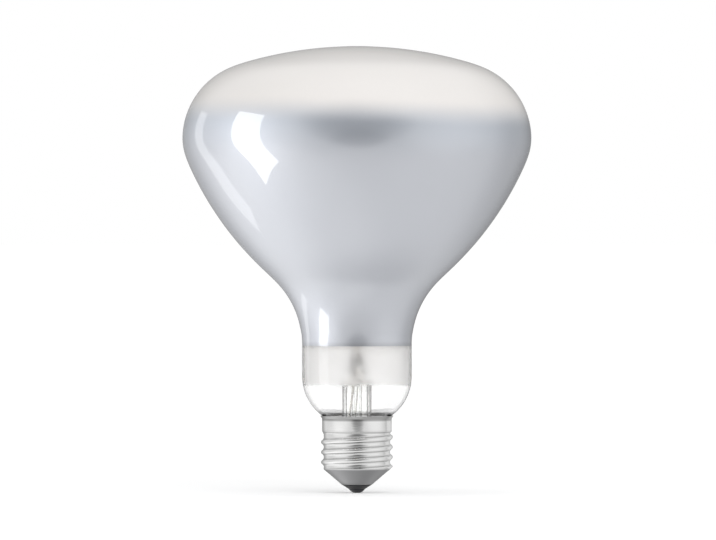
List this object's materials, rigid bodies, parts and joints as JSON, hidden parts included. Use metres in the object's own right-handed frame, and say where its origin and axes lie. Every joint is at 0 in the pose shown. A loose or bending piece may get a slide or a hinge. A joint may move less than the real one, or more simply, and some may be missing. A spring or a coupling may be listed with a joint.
{
  "type": "led reflector bulb",
  "caption": "Reflector bulb of blown glass with a frosted domed face, silvered sides, a clear neck foot over a glass stem, and a screw cap.",
  "frame": {"origin": "centre of the flat nose of the centre contact, at the bottom of the cap", "axes": "+Z along the bulb's axis from the cap to the face; the thread's lowest full crest crosses +X"},
  "size_m": [0.127, 0.127, 0.162],
  "materials": {
    "frosted_glass": "frosted inside on the face and a band of the neck, clear at the foot of the neck",
    "reflector_silver": "aluminium film seen through glass",
    "clear_glass": "clear, drawn tube and rod",
    "cap_metal": "bright rolled sheet",
    "black_glass": "opaque, poured and ground",
    "contact_metal": "darkened",
    "cement": "baked, matt",
    "nickel_wire": "drawn, nickel plated",
    "phosphor_coat": "silicone with phosphor",
    "circuit_board": "solder mask",
    "chip_plastic": "moulded",
    "can_sleeve": "shrunk sleeve",
    "ferrite": "pressed",
    "resistor_body": "lacquered",
    "tinned_wire": "tinned"
  },
  "bodies": {
    "root": {"glass_envelope": "frosted_glass", "reflector_film": "reflector_silver", "stem_tube": "clear_glass", "exhaust_tube": "clear_glass", "filament_mast": "clear_glass", "lead_wire_live": "nickel_wire", "lead_wire_neutral": "nickel_wire", "lower_crown_live": "nickel_wire", "lower_crown_neutral": "nickel_wire", "upper_crown": "nickel_wire", "cap_shell": "cap_metal", "cap_insulator": "black_glass", "centre_contact": "contact_metal", "cap_cement": "cement", "driver_board": "circuit_board", "smoothing_capacitor": "can_sleeve", "bridge_rectifier": "chip_plastic", "driver_chip": "chip_plastic", "inductor": "ferrite", "fusible_resistor": "resistor_body", "live_input_wire": "tinned_wire", "neutral_input_wire": "tinned_wire", "led_filament_1": "phosphor_coat", "led_filament_2": "phosphor_coat", "led_filament_3": "phosphor_coat", "led_filament_4": "phosphor_coat", "led_filament_5": "phosphor_coat", "led_filament_6": "phosphor_coat"}
  },
  "joints": []
}
